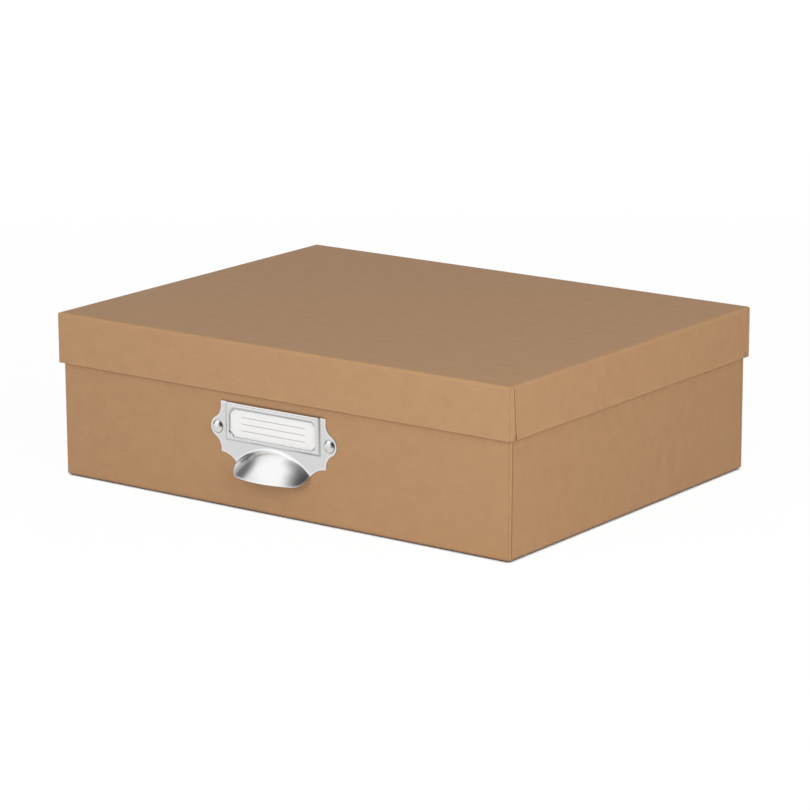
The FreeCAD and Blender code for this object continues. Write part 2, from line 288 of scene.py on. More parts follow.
def kraft(name, sheet, tone=0.0, shadow_line_of=None):
    """Kraft paper, laid out on the flat sheet or on the piece's own coordinates.

    tone lifts the whole paper, and the lid's paper uses it as painted light, paler than the base's.
    The last argument is the left, right and top, in mm, of a metal piece on the front wall that
    has a painted shadow line above it.
    """
    finish = Finish(name, sheet)
    cloud = finish.noise(0, (11, 8, 9), 3, 0.55)
    mat = (finish.noise(8, (2.6, 0.55, 0.55), 3, 0.6) * 0.6
           + finish.noise(-38, (1.9, 0.5, 0.5), 2, 0.6) * 0.4)
    fibres = finish.strands(21, (5.5, 0.9, 0.9), 0.022)
    shadows = finish.strands(-52, (4.5, 0.8, 0.8), 0.018)
    bark = finish.node("TexVoronoi", {}, {"Vector": finish.cells(14, (4.2, 3.1, 3.6)), "Scale": 1})
    specks = bark.step(0.085, 0.045) * finish.noise(0, (9, 9, 9), 0).step(0.5, 0.62)
    shade = 0.5 + tone + (cloud - 0.5) * 0.28 + (mat - 0.5) * 0.55
    shade = shade + fibres * 0.06 - shadows * 0.06 - specks * 0.4
    relief = mat * 0.6 + fibres * 0.25 + shadows * 0.15
    if sheet:
        # The fold mark lightens the paper: partly wear, partly painted light.
        shade = shade + finish.mark("fold") * 0.06
    colour = finish.blend(shade, KRAFT_DARK, KRAFT_LIGHT)
    # The seam mark's brown is partly the paper's cut edge and partly painted shade; its highest
    # values are the notch's painted shade.
    if sheet:
        seam = finish.mark("seam")
        colour = finish.blend(seam * 0.8, colour, SEAM_AND_SHADE_BROWN)
        colour = finish.blend(seam.step(1.1, 1.7), colour, NOTCH_SHADE_BROWN)
    # Painted shadow: a dark line on the front wall just above the metal piece's top edge.
    if shadow_line_of:
        left, right, top = shadow_line_of
        middle, half = (left + right) / 2, (right - left) / 2
        within = abs(finish.along(0) - middle * MM).step(half * MM, (half - 0.6) * MM)
        in_front = finish.along(1).step(0.0, -20 * MM)
        line = abs(finish.along(2) - (top - 0.1) * MM).step(1.4 * MM, 0.4 * MM)
        colour = finish.blend(within * line * in_front * 0.5, colour, PAINTED_SHADE_BROWN)
    return finish.done(colour, 0.68 - mat * 0.14, relief, 0.04, 0.35, Specular_IOR_Level=0.65)


holder_shadow_line = (HOLDER_X - HOLDER_HALF, HOLDER_X + HOLDER_HALF, holder_top)
kraft_base = kraft("kraft_base", True, shadow_line_of=holder_shadow_line)
# Painted light: the lid's paper is a paler copy of the base's, for the stronger light higher up.
kraft_lid = kraft("kraft_lid", True, tone=0.09)
kraft_lining = kraft("kraft_lining", True)
kraft_flat = kraft("kraft_flat", False)
print("kraft paper:", len(kraft_base.node_tree.nodes), "nodes")

# %% [markdown]
# ## Sheets folded round a box
#
# The covers and the lining are flat sheets folded up round a tray. Such a sheet has one
# cross-section, which is carried round a rounded rectangle. A row of the grid is one line of it,
# known by its inset from the outside of the wall and its distance from the closed end. The row is
# the rounded rectangle clipped to a smaller rectangle, so the closed end shrinks to its middle.

# %% Ring around a rounded rectangle
EASTWARD = (1, 1, -1, -1)
NORTHWARD = (1, -1, -1, 1)
ALIKE = (1, 1, 1, 1)
# How deep the paper lies, by the distance past the upper flap's edge.
SEAM_GAPS = [-9, -0.3, -0.1, 0.0, 0.22]
SEAM_DEPTHS = [0.13, 0.14, 0.18, 0.16, 0.0]


def four_quarters(quarter, signs):
    """Mirrors the values of one quarter, with a sign for each quarter, into a closed ring."""
    turned = (quarter, quarter[..., ::-1]) * 2
    return np.hstack([s * part[..., :-1] for s, part in zip(signs, turned)])


def section(inset, height, skin=0.0, outside=0.0, wear_and_light=0.0):
    """Rows of a cross-section: inset, height, inset of the outline, outside, wear and painted
    light.
    """
    columns = map(np.atleast_1d, (inset, height, skin, outside, wear_and_light))
    return np.stack(np.broadcast_arrays(*columns), -1)


def carried_round(half, corner, rows, stations, seam):
    """A quarter of the sheet: x and y of every point, its seam value and its place on the blank.

    A station is a place along the front, an angle of the corner's arc or a place along the side.
    The point is the rounded rectangle's point less the skin's inset along its normal, clipped to
    the rectangle that is smaller by the row's inset. seam is the seam's distance from the corner
    at the closed and at the open end, and stations near it lean with it. The seam value is 1 on
    the seam, partly the dark cut edge and partly painted shade of its step. It holds painted shade
    of a half where the paper is creased round the arc, and painted shade in the middle of the arc
    on rows with a wear and light mark.
    """
    inset, height, skin, outside, wear_and_light = (column[:, None] for column in rows.T)
    ahead, angle, aside = stations
    turn = np.hstack([0 * ahead, angle, np.full(len(aside), pi / 2)])
    far = np.hstack([0 * ahead, 0 * angle, aside])
    seam_at = seam[0] + (seam[1] - seam[0]) * height / max(height.max(), 1e-6)
    middle = 0.5 * (seam[0] + seam[1])
    lean = np.interp(far, [corner, middle - 0.4, middle + 0.8, middle + 12], [0, 1, 1, 0])
    far = far + (seam_at - middle) * lean * (far > corner)
    on_side = far > corner
    gap = np.where(on_side, far - seam_at, SEAM_GAPS[0])
    x = np.hstack([ahead, half[0] - corner + corner * np.sin(angle), half[0] + 0 * aside])
    y = np.hstack([0 * ahead - half[1], corner * (1 - np.cos(angle)) - half[1], 0 * aside])
    y = np.where(on_side, far - half[1], y)
    on_arc = SEAM_DEPTHS[0] * np.sin(turn) ** 4
    depth = np.where(on_side, np.interp(gap, SEAM_GAPS, SEAM_DEPTHS), on_arc)
    press = skin + outside * depth
    x = np.clip(x - press * np.sin(turn), inset - half[0], half[0] - inset)
    y = np.clip(y + press * np.cos(turn), inset - half[1], half[1] - inset)
    line = np.interp(np.abs(gap + 0.03), [0.1, 0.38], [1, 0])
    # Painted shade: marked rows darken in the middle of the corner's arc, and the outside darkens
    # where the paper is creased round the arc.
    corner_pinch_shade = 0.22 * wear_and_light * np.sin(2 * turn) ** 2
    crease = 0.5 * np.exp(-(((np.degrees(turn) - 30) / 22) ** 2))
    arc_end = half[0] - corner + corner * angle
    travel = np.hstack([ahead, arc_end, arc_end[-1] + aside - corner])
    return x, y, gap, outside * (line + crease) + corner_pinch_shade, travel


def station_places(half, corner, seam):
    """Stations of a quarter: every 4 mm, and closer where the paper turns or has its seam."""
    near = 0.5 * (seam[0] + seam[1])
    to_corner = half[0] - corner - np.array([4, 2.2, 1.1, 0.4])
    ahead = np.hstack([np.linspace(0, half[0] - corner - 7, 40), to_corner])
    angle = np.radians(np.linspace(0, 90, 12))
    ridge = near + np.array([-0.4, -0.26, -0.17, -0.09, -0.01, 0.07, 0.15, 0.25, 0.4, 0.8])
    aside = np.hstack([ridge, np.linspace(near + 2.5, half[1], 30)])
    return ahead, angle, aside


# %% [markdown]
# ### Cross-sections of the covering papers
#
# The paper starts in the middle of the closed end, folds up round the board, runs over the rim
# and ends glued inside the wall. Its hidden side comes back the same way, which makes it a solid.
# Paper isn't sharp where it folds, so it keeps small radii.

# %% Cross-sections
PANEL_INSETS = np.array([90, 60, 35, 18, 9, 5, 3.2])


def quarter_turn(count, start=0, end=90):
    """Angles of a fold, as their cosines and sines."""
    angle = np.radians(np.linspace(start, end, count))
    return np.cos(angle), np.sin(angle)


def cover_rows(half, depth, turn_end):
    """Covering paper: its outer skin from the middle of the closed end, then its inner skin."""
    falling, rising = quarter_turn(9, 90, 0)
    opening, closing = quarter_turn(5)
    inner = FOLD_R - PAPER_T
    # Partly wear, partly painted light: the closed end's fold is lighter halfway round.
    fold_wear_and_light = (2 * falling * rising) ** 2
    return np.vstack([
        section(np.append(half[1], PANEL_INSETS), 0),
        section(FOLD_R - FOLD_R * falling, FOLD_R - FOLD_R * rising, 0, np.linspace(0, 1, 9),
                fold_wear_and_light),
        section(0, np.linspace(FOLD_R + 0.8, depth - 1.2, int(depth / 3)), 0, 1),
        # Painted light: the open edge's strong mark lightens the paper where the edge lies in
        # shade.
        section(RIM_R - RIM_R * opening, depth - RIM_R + RIM_R * closing, 0, 1, 2.5),
        section(WALL_T - RIM_R + RIM_R * closing, depth - RIM_R + RIM_R * opening, 0, 0, 0.8),
        section(WALL_T, np.linspace(depth - 1.5, turn_end, 8)),
        section(WALL_T - PAPER_T, [turn_end, depth - PAPER_T]),
        section(PAPER_T, depth - PAPER_T, PAPER_T),
        section(FOLD_R - inner * falling[::-1], FOLD_R - inner * rising[::-1], PAPER_T),
        section([20, half[1]], PAPER_T, PAPER_T),
    ])


def sheet_piece(name, finish, half, rows, seam, closed_z, upward, notch=0.0):
    """Carries a cross-section round a tray and makes the piece, with its places on the blank.

    On the blank, which is the unfolded sheet, the closed end keeps x and y, and a wall lies beyond
    its fold by the length of paper from there. Between the two seams of a side the paper belongs
    to the side's own flap, and elsewhere to the front or back flap.
    """
    stations = station_places(half, CORNER_R, seam)
    x, y, gap, seam_and_shade_mark, travel = carried_round(half, CORNER_R, rows, stations, seam)
    inset, height, _, outside, wear_and_light = (column[:, None] for column in rows.T)
    step = np.hypot(np.diff(inset, axis=0), np.diff(height, axis=0))
    drop = np.vstack([[[0.0]], np.cumsum(step, axis=0)]) - half[1]
    at_end = np.interp(height.max() - height, [notch * 0.9, notch * 1.1 + 1e-3], [1, 0])
    # Painted shade: the open notch at the end of the lid's seam is marked very dark.
    notch_shade = outside * at_end * np.interp(np.abs(gap + 0.03), [0.3, 0.42], [1, 0]) * (notch > 0)
    # Partly wear, partly painted light: the paper near each corner is lighter.
    corner_wear_and_light = outside * np.interp(travel - half[0], [0.0, 0.6, 3.5, 5.0], [0, 1.8, 1.8, 0])
    fold_wear_and_light_mark = np.maximum(wear_and_light, corner_wear_and_light * (gap < 0.0))
    front_u = np.clip(travel, 0, half[0] - inset + 99 * (inset < 1))
    X, Y, seam_and_shade_ring, fold_wear_and_light_ring, gap_ring, front_u, front_v, side_u = (
        four_quarters(v + 0 * x, signs) for v, signs in (
            (x, EASTWARD), (y, NORTHWARD), (seam_and_shade_mark + notch_shade, ALIKE), (fold_wear_and_light_mark, ALIKE),
            (gap, ALIKE), (front_u, EASTWARD), (-(half[1] + drop), NORTHWARD),
            (half[0] + drop, EASTWARD)))
    Z = closed_z + upward * height + 0 * X
    points = np.stack([X, Y, Z], -1).reshape(-1, 3)
    quads = grid_quads(*X.shape, closed=True)
    on_flap = (gap_ring.ravel()[quads] > -0.02).all(axis=1)
    front = np.stack([front_u, front_v], -1).reshape(-1, 2)[quads]
    flap = np.stack([side_u, Y], -1).reshape(-1, 2)[quads]
    uv = np.where(on_flap[:, None, None], flap, front)
    return make_piece(name, points, quads, finish, uv, {"seam": seam_and_shade_ring, "fold": fold_wear_and_light_ring})


# %% [markdown]
# ### The base's cover, the lid's cover and the lining
#
# The cover's front flap goes round each corner and ends a few millimetres along the side, and the
# side's flap is laid over it. That leaves a seam with a dark cut edge, which isn't quite square
# to the base. Its dark line is partly that edge and partly painted shade of the step. On the lid
# the seam ends in a small open notch, painted very dark as the shade inside it.

# %% Cover of the base
base_half = base_high[:2]
base_depth = base_high[2] - base_low[2]
base_rows = cover_rows(base_half, base_depth, base_depth - TURN_IN)
base_cover = sheet_piece("base_cover", kraft_base, base_half, base_rows, (2.2, 3.8), base_low[2], 1)
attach(base_cover, "base")
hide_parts("base_wrap")

# %% Cover of the lid
lid_half = lid_high[:2]
lid_depth = lid_high[2] - lid_low[2]
lid_rows = cover_rows(lid_half, lid_depth, WALL_T - PAPER_T)
lid_cover = sheet_piece("lid_cover", kraft_lid, lid_half, lid_rows, (3.2, 5.4), lid_high[2], -1,
                        notch=2.5)
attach(lid_cover, "lid")
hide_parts("lid_wrap")


# %% Lining of the base
def lining_rows(half, top, step_height):
    """Lining: the floor, a small fold, the wall, a step over the turn-in, and back outside."""
    falling, rising = quarter_turn(5, 90, 0)
    bend = 0.8
    shelf = WALL_T + PAPER_T
    return np.vstack([
        section(np.append(half[1], PANEL_INSETS), WALL_T),
        section(WALL_T + bend - bend * falling, WALL_T + bend - bend * rising, 0, 0, 0.3),
        section(WALL_T, np.linspace(WALL_T + 3, step_height - 0.5, 16)),
        section([WALL_T + 0.04, shelf - 0.04, shelf], step_height + np.array([-0.2, 0.2, 0.4]),
                0, 0, 0.4),
        section(shelf, np.linspace(step_height + 2, top - 0.06, 4)),
        section([shelf - 0.06, WALL_T + 0.06], top, 0, 0, 0.6),
        section(WALL_T, [top - 0.06, step_height]),
        section(WALL_T - PAPER_T, [step_height - PAPER_T, WALL_T - PAPER_T]),
        section(half[1], WALL_T - PAPER_T),
    ])


liner_rows = lining_rows(base_half, liner_high[2], base_depth - TURN_IN)
lining = sheet_piece("base_lining", kraft_lining, base_half, liner_rows, (4.0, 4.0), 0.0, 1)
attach(lining, "base")
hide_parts("base_liner")

# %% [markdown]
# ## Board, stays and the lid's lining
#
# The grey board, the paper stays over its corners and the flat lining under the lid are hidden or
# flat, so they keep their CAD mesh and get a finish on their own coordinates.


# %% Finishes of the board and the stays
def pulp(name, dark, light, grain):
    """Recycled pulp: soft clouds, a coarse grain and dark flecks."""
    finish = Finish(name)
    cloud = finish.noise(0, (7, 7, 7), 3, 0.6)
    coarse = finish.noise(25, (grain * 2.4, grain, grain), 3, 0.65)
    flecks = finish.noise(60, (grain * 0.9, grain * 0.4, grain * 0.6), 1).step(0.66, 0.74)
    shade = cloud * 0.45 + coarse * 0.6 - flecks * 0.35
    return finish.done(finish.blend(shade, dark, light), 0.8 - coarse * 0.1, coarse, 0.08, 0.6)


finishes = {
    "greyboard": pulp("greyboard_pulp", written(128, 124, 117), written(178, 174, 166), 0.9),
    "stay_paper": pulp("stay_paper_pulp", written(168, 148, 122), written(214, 196, 170), 0.6),
    "lining_paper": kraft_flat,
}
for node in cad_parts.values():
    known = finishes.get(node.material_slots[0].material.name)
    if known and not node.hide_render:
        node.material_slots[0].material = known
        print("finish of", node.name, "is", known.name)

# %% [markdown]
# ## Nickel-plated steel
#
# Plated steel shows mostly what stands around it, so its own pattern is quiet: a faint long grain
# from rolling, and slow waves from the press, as a very shallow bump. Marks at the points do the
# rest: a painted highlight makes the marked places bright, and they are a little rougher too,
# while creases get painted shade and painted dark reflection, and the rivets' heads are darker
# round their foot.


# %% Finish of the steel
def nickel(name, tone, roughness, turn, wave, marked=False):
    """Plating with a rolling grain along one direction, slow waves and, if marked, its marks."""
    finish = Finish(name)
    grain = finish.noise(turn, (9, 0.25, 0.25), 3, 0.6)
    haze = finish.noise(0, (6, 6, 6), 2, 0.5)
    shade = grain * 0.5 + haze * 0.5
    colour = finish.blend(shade, grey(0.94 * tone), grey(tone))
    rough = roughness + shade * 0.06
    if marked:
        # Where marked, a painted highlight turns the colour bright and the steel a little rougher,
        # and the crease mark darkens the colour.
        rubbed_and_highlight = finish.mark("rubbed_and_highlight")
        colour = finish.blend(rubbed_and_highlight, colour, grey(0.97))
        colour = finish.blend(finish.mark("crease"), colour, grey(0.2))
        rough = rough + rubbed_and_highlight * 0.2
    relief = finish.noise(0, (3.5, 3.5, 3.5), 1) + grain * 0.06
    return finish.done(colour, rough, relief, wave, 0.6, Metallic=1.0)


holder_steel = nickel("nickel_sheet", 0.82, 0.13, 0, 0.012, marked=True)
rivet_steel = nickel("nickel_polished", 0.82, 0.06, 0, 0.004, marked=True)
washer_steel = nickel("washer_brushed", 0.62, 0.3, 35, 0.01)
print("steel finishes ready")

# %% [markdown]
# ## The label holder
#
# The holder is one pressed sheet: a flat flange with a lobe for each rivet, a raised frame, and a
# cup to pull on. Its front is worked out first, as patches that share their edges. The outline
# is drawn half a thickness inside the CAD's, and the rolled edge fills that up.

# %% Outline of the holder
SHEET_T = 0.6
EDGE = SHEET_T / 2
TOP = holder_top - EDGE
SIDE = HOLDER_HALF - EDGE
LOBE, LOBE_R = np.array([39.6, 47.6]), 6.4 - EDGE  # round each rivet
COVE_X, COVE_R = 46.4, 8.0 + EDGE  # hollows beside a lobe
SCALLOP_DROP = 1.9  # from the lower cove's centre to the wing
SCALLOP_FOOT, BRIM_R = 27.2, 39.0  # where the scallop meets the cup's brim
SCALLOP_DEEP = 1.3
LIP_CORNER, LIP_R = np.array([21.2, 28.4]), 6.0 - EDGE
BOWL_R, BOWL_AT = 35.16, (8.89, -17.56)  # radius and centre of the cup's section
FILLET_R = 2.0
HUB_R = BOWL_AT[0] + sqrt((BOWL_R + FILLET_R)**2 - (SHEET_T + FILLET_R - BOWL_AT[1])**2)
BOWL_FROM = BOWL_AT[0] + (HUB_R - BOWL_AT[0]) * BOWL_R / (BOWL_R + FILLET_R)


def crossing(centre_a, radius_a, centre_b, radius_b):
    """Where two circles cross: along the line of centres, then square to it on the right."""
    line = np.subtract(centre_b, centre_a)
    apart = np.hypot(*line)
    along = (radius_a**2 - radius_b**2 + apart**2) / (2 * apart)
    square = sqrt(radius_a**2 - along**2)
    return centre_a + (along * line + square * np.array([line[1], -line[0]])) / apart


def arc_points(centre, radius, start, end, count):
    """Points of a circle between two angles in degrees, in the front view."""
    angle = np.radians(np.linspace(start, end, count))
    return centre + radius * np.stack([np.cos(angle), np.sin(angle)], -1)


def angle_of(point, centre):
    """Direction from a centre to a point, in degrees."""
    return degrees(atan2(point[1] - centre[1], point[0] - centre[0]))


def arc_between(centre, radius, start, end, count):
    """Points of a circle from the direction of one point to that of another."""
    return arc_points(centre, radius, angle_of(start, centre), angle_of(end, centre), count)


rise = sqrt((COVE_R + LOBE_R) ** 2 - (COVE_X - LOBE[0]) ** 2)
lean = degrees(atan2(rise, COVE_X - LOBE[0]))
upper_cove = np.array([COVE_X, LOBE[1] + rise])
lower_cove = np.array([COVE_X, LOBE[1] - rise])
wing = np.array([HOLDER_HALF, lower_cove[1] - SCALLOP_DROP])
foot = np.array([SCALLOP_FOOT, sqrt(BRIM_R**2 - SCALLOP_FOOT**2)])
chord = wing - foot
hollow = np.array([-chord[1], chord[0]]) / np.hypot(*chord)
wide_r = (np.hypot(*chord) ** 2 / 4 + SCALLOP_DEEP**2) / (2 * SCALLOP_DEEP)
scallop = (wing + foot) / 2 - (wide_r - SCALLOP_DEEP) * hollow
scallop_r = wide_r + EDGE
waist = np.array([SIDE, scallop[1] + sqrt(scallop_r**2 - (SIDE - scallop[0]) ** 2)])
cup_start = crossing(scallop, scallop_r, (0, 0), HUB_R)
cup_foot = crossing(scallop, scallop_r, LIP_CORNER, LIP_R)
print("the scallop meets the cup at", cup_start.round(2), "and", cup_foot.round(2))

# %% [markdown]
# ### Patches of the front
#
# Straight lines join the foot of the frame to the outline. The frame's border is carried from its
# foot to its crest and then to the window, whose corners are cut off, so the moulding gets its
# mitres by itself. The cup hangs between its circle and its lip, and its depth follows from the
# distance to the arch's centre.
#
# Each point gets two marks: a painted highlight makes the sheet's edge, the frame's top and a band
# under the arch bright, and painted shade and painted dark reflection darken the creases and a
# band lower in the cup.

# %% Edges that the patches share
FRAME_HALF = np.array([34.5, 33.3])  # of its foot and of its crest
FRAME_LOW = np.array([40.8, 42.0])
WINDOW_HALF = 31.2 + EDGE
WINDOW_LOW, WINDOW_HIGH = 43.5 - EDGE, 59.6 + EDGE
CUT = 3.0 + EDGE * (2 - sqrt(2))
COVES_MEET = (60.3, 42.6)  # heights on the frame's foot for the coves' ends
window_side = (WINDOW_LOW + CUT, WINDOW_HIGH - CUT)
window_flat = WINDOW_HALF - CUT

# Each part of the outline, and the heights on the frame's foot that it is joined to.
outline = [
    (np.linspace((SIDE, TOP), (SIDE, upper_cove[1]), 8), (TOP, COVES_MEET[0])),
    (arc_points(upper_cove, COVE_R, 180, 180 + lean, 24), (COVES_MEET[0], window_side[1])),
    (arc_points(LOBE, LOBE_R, lean, -lean, 46), window_side[::-1]),
    (arc_points(lower_cove, COVE_R, 180 - lean, 180, 24), (window_side[0], COVES_MEET[1])),
    (np.linspace((SIDE, lower_cove[1]), waist, 5), (COVES_MEET[1], FRAME_LOW[0])),
]
side_outer = [edge for edge, _ in outline]
side_z = np.hstack([np.linspace(*heights, len(edge)) for edge, heights in outline])
side_inner = np.stack([np.full(len(side_z), FRAME_HALF[0]), side_z], -1)
scallop_arc = arc_between(scallop, scallop_r, waist, cup_start, 26)

share = np.linspace(0, 1, 60) ** 1.15
hub_start = angle_of(cup_start, (0, 0))
hub_angle = np.radians(hub_start + (90 - hub_start) * share)
hub_arc = HUB_R * np.stack([np.cos(hub_angle), np.sin(hub_angle)], -1)
low_x = np.hstack([np.linspace(FRAME_HALF[0], window_flat, 26), window_flat * (1 - share)])
low_inner = np.stack([low_x, np.full(len(low_x), FRAME_LOW[0])], -1)
flange_outer = np.vstack([*side_outer, scallop_arc, hub_arc])
flange_inner = np.vstack([side_inner, low_inner])

last_scallop = arc_between(scallop, scallop_r, cup_start, cup_foot, 4)
lip_round = arc_points(LIP_CORNER, LIP_R, angle_of(cup_foot, LIP_CORNER), -90, 22)
lip_flat = np.linspace(lip_round[-1], (0, lip_round[-1][1]), len(share) - 4 - 22 + 2)
lip = np.vstack([last_scallop, lip_round[1:], lip_flat[1:]])
print("flange edge has", len(flange_outer), "points and the lip", len(lip))


# %% Depth of the cup
def cup_depth(radius):
    """Depth off the wall by the distance from the arch's centre: flat, a fillet, then an arc."""
    fillet = SHEET_T + FILLET_R - np.sqrt(np.clip(FILLET_R**2 - (radius - HUB_R) ** 2, 0, None))
    bowl = BOWL_AT[1] + np.sqrt(np.clip(BOWL_R**2 - (radius - BOWL_AT[0]) ** 2, 0, None))
    return np.where(radius >= HUB_R, SHEET_T, np.where(radius > BOWL_FROM, fillet, bowl))


# %% The three patches
# Share of the way from the foot (0) over the crest (1) to the window (2), depth, painted shade,
# painted highlight.
MOULDING = np.array([
    (0, 0.6, 0.5, 0), (0.05, 0.62, 0.5, 0), (0.12, 0.68, 0.35, 0), (0.25, 0.83, 0.15, 0),
    (0.45, 1.05, 0.05, 0), (0.65, 1.25, 0, 0), (0.85, 1.41, 0, 0), (1, 1.49, 0, 0),
    (1.14, 1.545, 0, 0.1), (1.3, 1.58, 0, 0.2), (1.5, 1.6, 0, 0.2), (1.66, 1.6, 0, 0),
    (1.72, 1.585, 0, 0), (1.78, 1.52, 0, 0), (1.84, 1.4, 0.2, 0), (1.9, 1.25, 0.3, 0),
    (1.96, 1.12, 0.35, 0), (2, 1.06, 0.3, 0)])
# The same columns for the top: its painted highlights are the bright top edge and land, and its
# painted shade lies at the window's top edge.
TOP_MOULDING = np.array([
    (1, 1.53, 0, 1), (1.06, 1.57, 0, 1), (1.14, 1.6, 0, 0.9), (1.2, 1.57, 0.1, 0.1),
    (1.24, 1.53, 0.4, 0), (1.29, 1.56, 0.1, 0.1), (1.36, 1.6, 0, 0.7), (1.54, 1.6, 0, 0.8),
    (1.62, 1.57, 0, 0.3), (1.68, 1.5, 0, 0), (1.78, 1.1, 0.4, 0), (1.86, 1.02, 0.5, 0),
    (1.92, 1, 0.4, 0), (2, 1, 0.3, 0)])
STEPS = np.union1d(MOULDING[:, 0], TOP_MOULDING[:, 0])


def profile(table, steps):
    """Depth, crease and rubbed values of a moulding at each step."""
    return np.stack([np.interp(steps, table[:, 0], column) for column in table[:, 1:].T], -1)


def from_line(points, line, near, away):
    """1 near a line of points, falling to 0 away from it, by the distance to its nearest piece."""
    start, way = line[:-1], np.diff(line, axis=0)
    off = points[..., None, :] - start
    along = np.clip((off * way).sum(-1) / np.maximum((way**2).sum(-1), 1e-9), 0, 1)
    gap = np.linalg.norm(off - along[..., None] * way, axis=-1).min(-1)
    return np.interp(gap, [near, away], [1, 0])


def ruled(inner, outer, shares):
    """Rows of points that run straight from one edge to the other."""
    w = shares[:, None, None]
    return (1 - w) * inner + w * outer


def border(foot_edge, crest_edge, window_edge, steps, values):
    """Moulding from the foot to the crest to the window, with its depth and marks."""
    g = steps[:, None, None]
    rising = (1 - g) * foot_edge + g * crest_edge
    falling = (2 - g) * crest_edge + (g - 1) * window_edge
    flat = np.where(g <= 1, rising, falling)
    return flat, np.broadcast_to(values, (*flat.shape[:2], 3))


def along_window(place, at, x, z):
    """The window's edge: its x and z follow in straight steps from a place along the frame."""
    return np.stack([np.interp(place, at, x), np.interp(place, at, z)], -1)


cut_x, cut_low, cut_high = WINDOW_HALF - CUT / 2, WINDOW_LOW + CUT / 2, WINDOW_HIGH - CUT / 2
side_window = along_window(side_z, [FRAME_LOW[0], *window_side, TOP],
                           [cut_x, WINDOW_HALF, WINDOW_HALF, cut_x],
                           [cut_low, *window_side, cut_high])
flat_x = [0, window_flat, cut_x]
low_window = along_window(low_x, [0, window_flat, FRAME_HALF[0]], flat_x,
                          [WINDOW_LOW, WINDOW_LOW, cut_low])
crest_x = np.minimum(flange_inner[:, 0], FRAME_HALF[1])
crest = np.stack([crest_x, np.maximum(flange_inner[:, 1], FRAME_LOW[1])], -1)
top_x = [*np.linspace(FRAME_HALF[1], window_flat, 10), *np.linspace(window_flat, 0, 40)[1:]]
top_crest = np.stack([top_x, np.full(len(top_x), TOP)], -1)
top_window = along_window(top_x, [0, window_flat, FRAME_HALF[1]], flat_x,
                          [WINDOW_HIGH, WINDOW_HIGH, cut_high])

EDGE_HIGHLIGHT = (0.35, 0.95)  # the bright edge's width, and its fading
flange_shares = [0, 0.03, 0.08, 0.16, 0.28, 0.42, 0.56, 0.69, 0.79, 0.86, 0.91, 0.95, 0.975, 1]
flange = ruled(flange_inner, flange_outer, np.array(flange_shares))
cup_shares = [*np.linspace(0, 0.09, 12), *np.linspace(0.1, 0.9, 31), 0.93, 0.955, 0.98, 1]
cup = ruled(hub_arc, lip, np.array(cup_shares))
rim_line = np.vstack([(0, TOP), *side_outer, scallop_arc, lip])


def flat_part(points, depth):
    """Depth and marks of a patch: painted highlight along the sheet's edge, painted shade at the
    foot.
    """
    crease = MOULDING[0, 2] * from_line(points, flange_inner, 0.0, 0.4)
    return np.stack([depth, crease, 0.8 * from_line(points, rim_line, *EDGE_HIGHLIGHT)], -1)


# %% Marks in the cup and all patches
from_arch = np.hypot(cup[..., 0], cup[..., 1])
cup_values = flat_part(cup, cup_depth(from_arch))
below_arch = HUB_R - from_arch
off_middle = np.abs(cup[..., 0])
band = np.interp(off_middle, [6, 22], [2.6, 0.7])  # width of the bright band
# Painted highlight: a bright band just under the arch.
cup_values[..., 2] += 0.8 * np.interp(below_arch / band, [0, 0.1, 0.8, 1.1], [0.3, 1, 1, 0])
# Painted shade and dark reflection: a dark band below the bright one, strongest 15 to 21 mm off the
# middle.
painted_dark_band = np.interp(below_arch - band, [0, 0.5, 1.5, 4.5], [0, 1, 1, 0])
cup_values[..., 1] += 0.6 * painted_dark_band * np.interp(off_middle, [9, 15, 21, 26], [0, 1, 1, 0])

side_values = profile(MOULDING, STEPS)[:, None, :]
from_crest = STEPS >= 1
near_corner = np.interp(top_x, FRAME_HALF[1] - np.array([2.2, 0.4]), [0, 1])[None, :, None]
top_values = profile(TOP_MOULDING, STEPS[from_crest])[:, None, :] * (1 - near_corner)
top_values = top_values + side_values[from_crest] * near_corner
patches = [
    (flange, flat_part(flange, np.full(flange.shape[:2], SHEET_T))),
    border(flange_inner, crest, np.vstack([side_window, low_window]), STEPS, side_values),
    border(top_crest, top_crest, top_window, STEPS[from_crest], top_values),
    (cup, cup_values),
]

# %% [markdown]
# ### Thickness and a rolled edge
#
# A bright line round the holder is most of what says metal, so the sheet needs two skins and a
# rounded edge. The back skin is the front one moved along its normals. Wherever an edge belongs
# to only one quad the sheet ends, and half a circle joins the two skins there.


# %% Sheet with two skins
def both_halves(patches):
    """Points, marks and quads of the right half's patches and of their mirror images."""
    parts, count = [], 0
    for flat, values in patches:
        for sign in (1, -1):
            x = HOLDER_X + sign * flat[..., 0]
            part = np.stack([x, WALL_Y - values[..., 0], flat[..., 1]], -1)
            corners = grid_quads(*part.shape[:2])
            part = part.reshape(-1, 3)
            a, b, c, d = part[corners.T]
            if np.cross(c - a, d - b)[:, 1].sum() > 0:
                corners = corners[:, ::-1]
            parts.append((part, values[..., 1:].reshape(-1, 2), corners + count))
            count += len(part)
    return [np.vstack(column) for column in zip(*parts)]


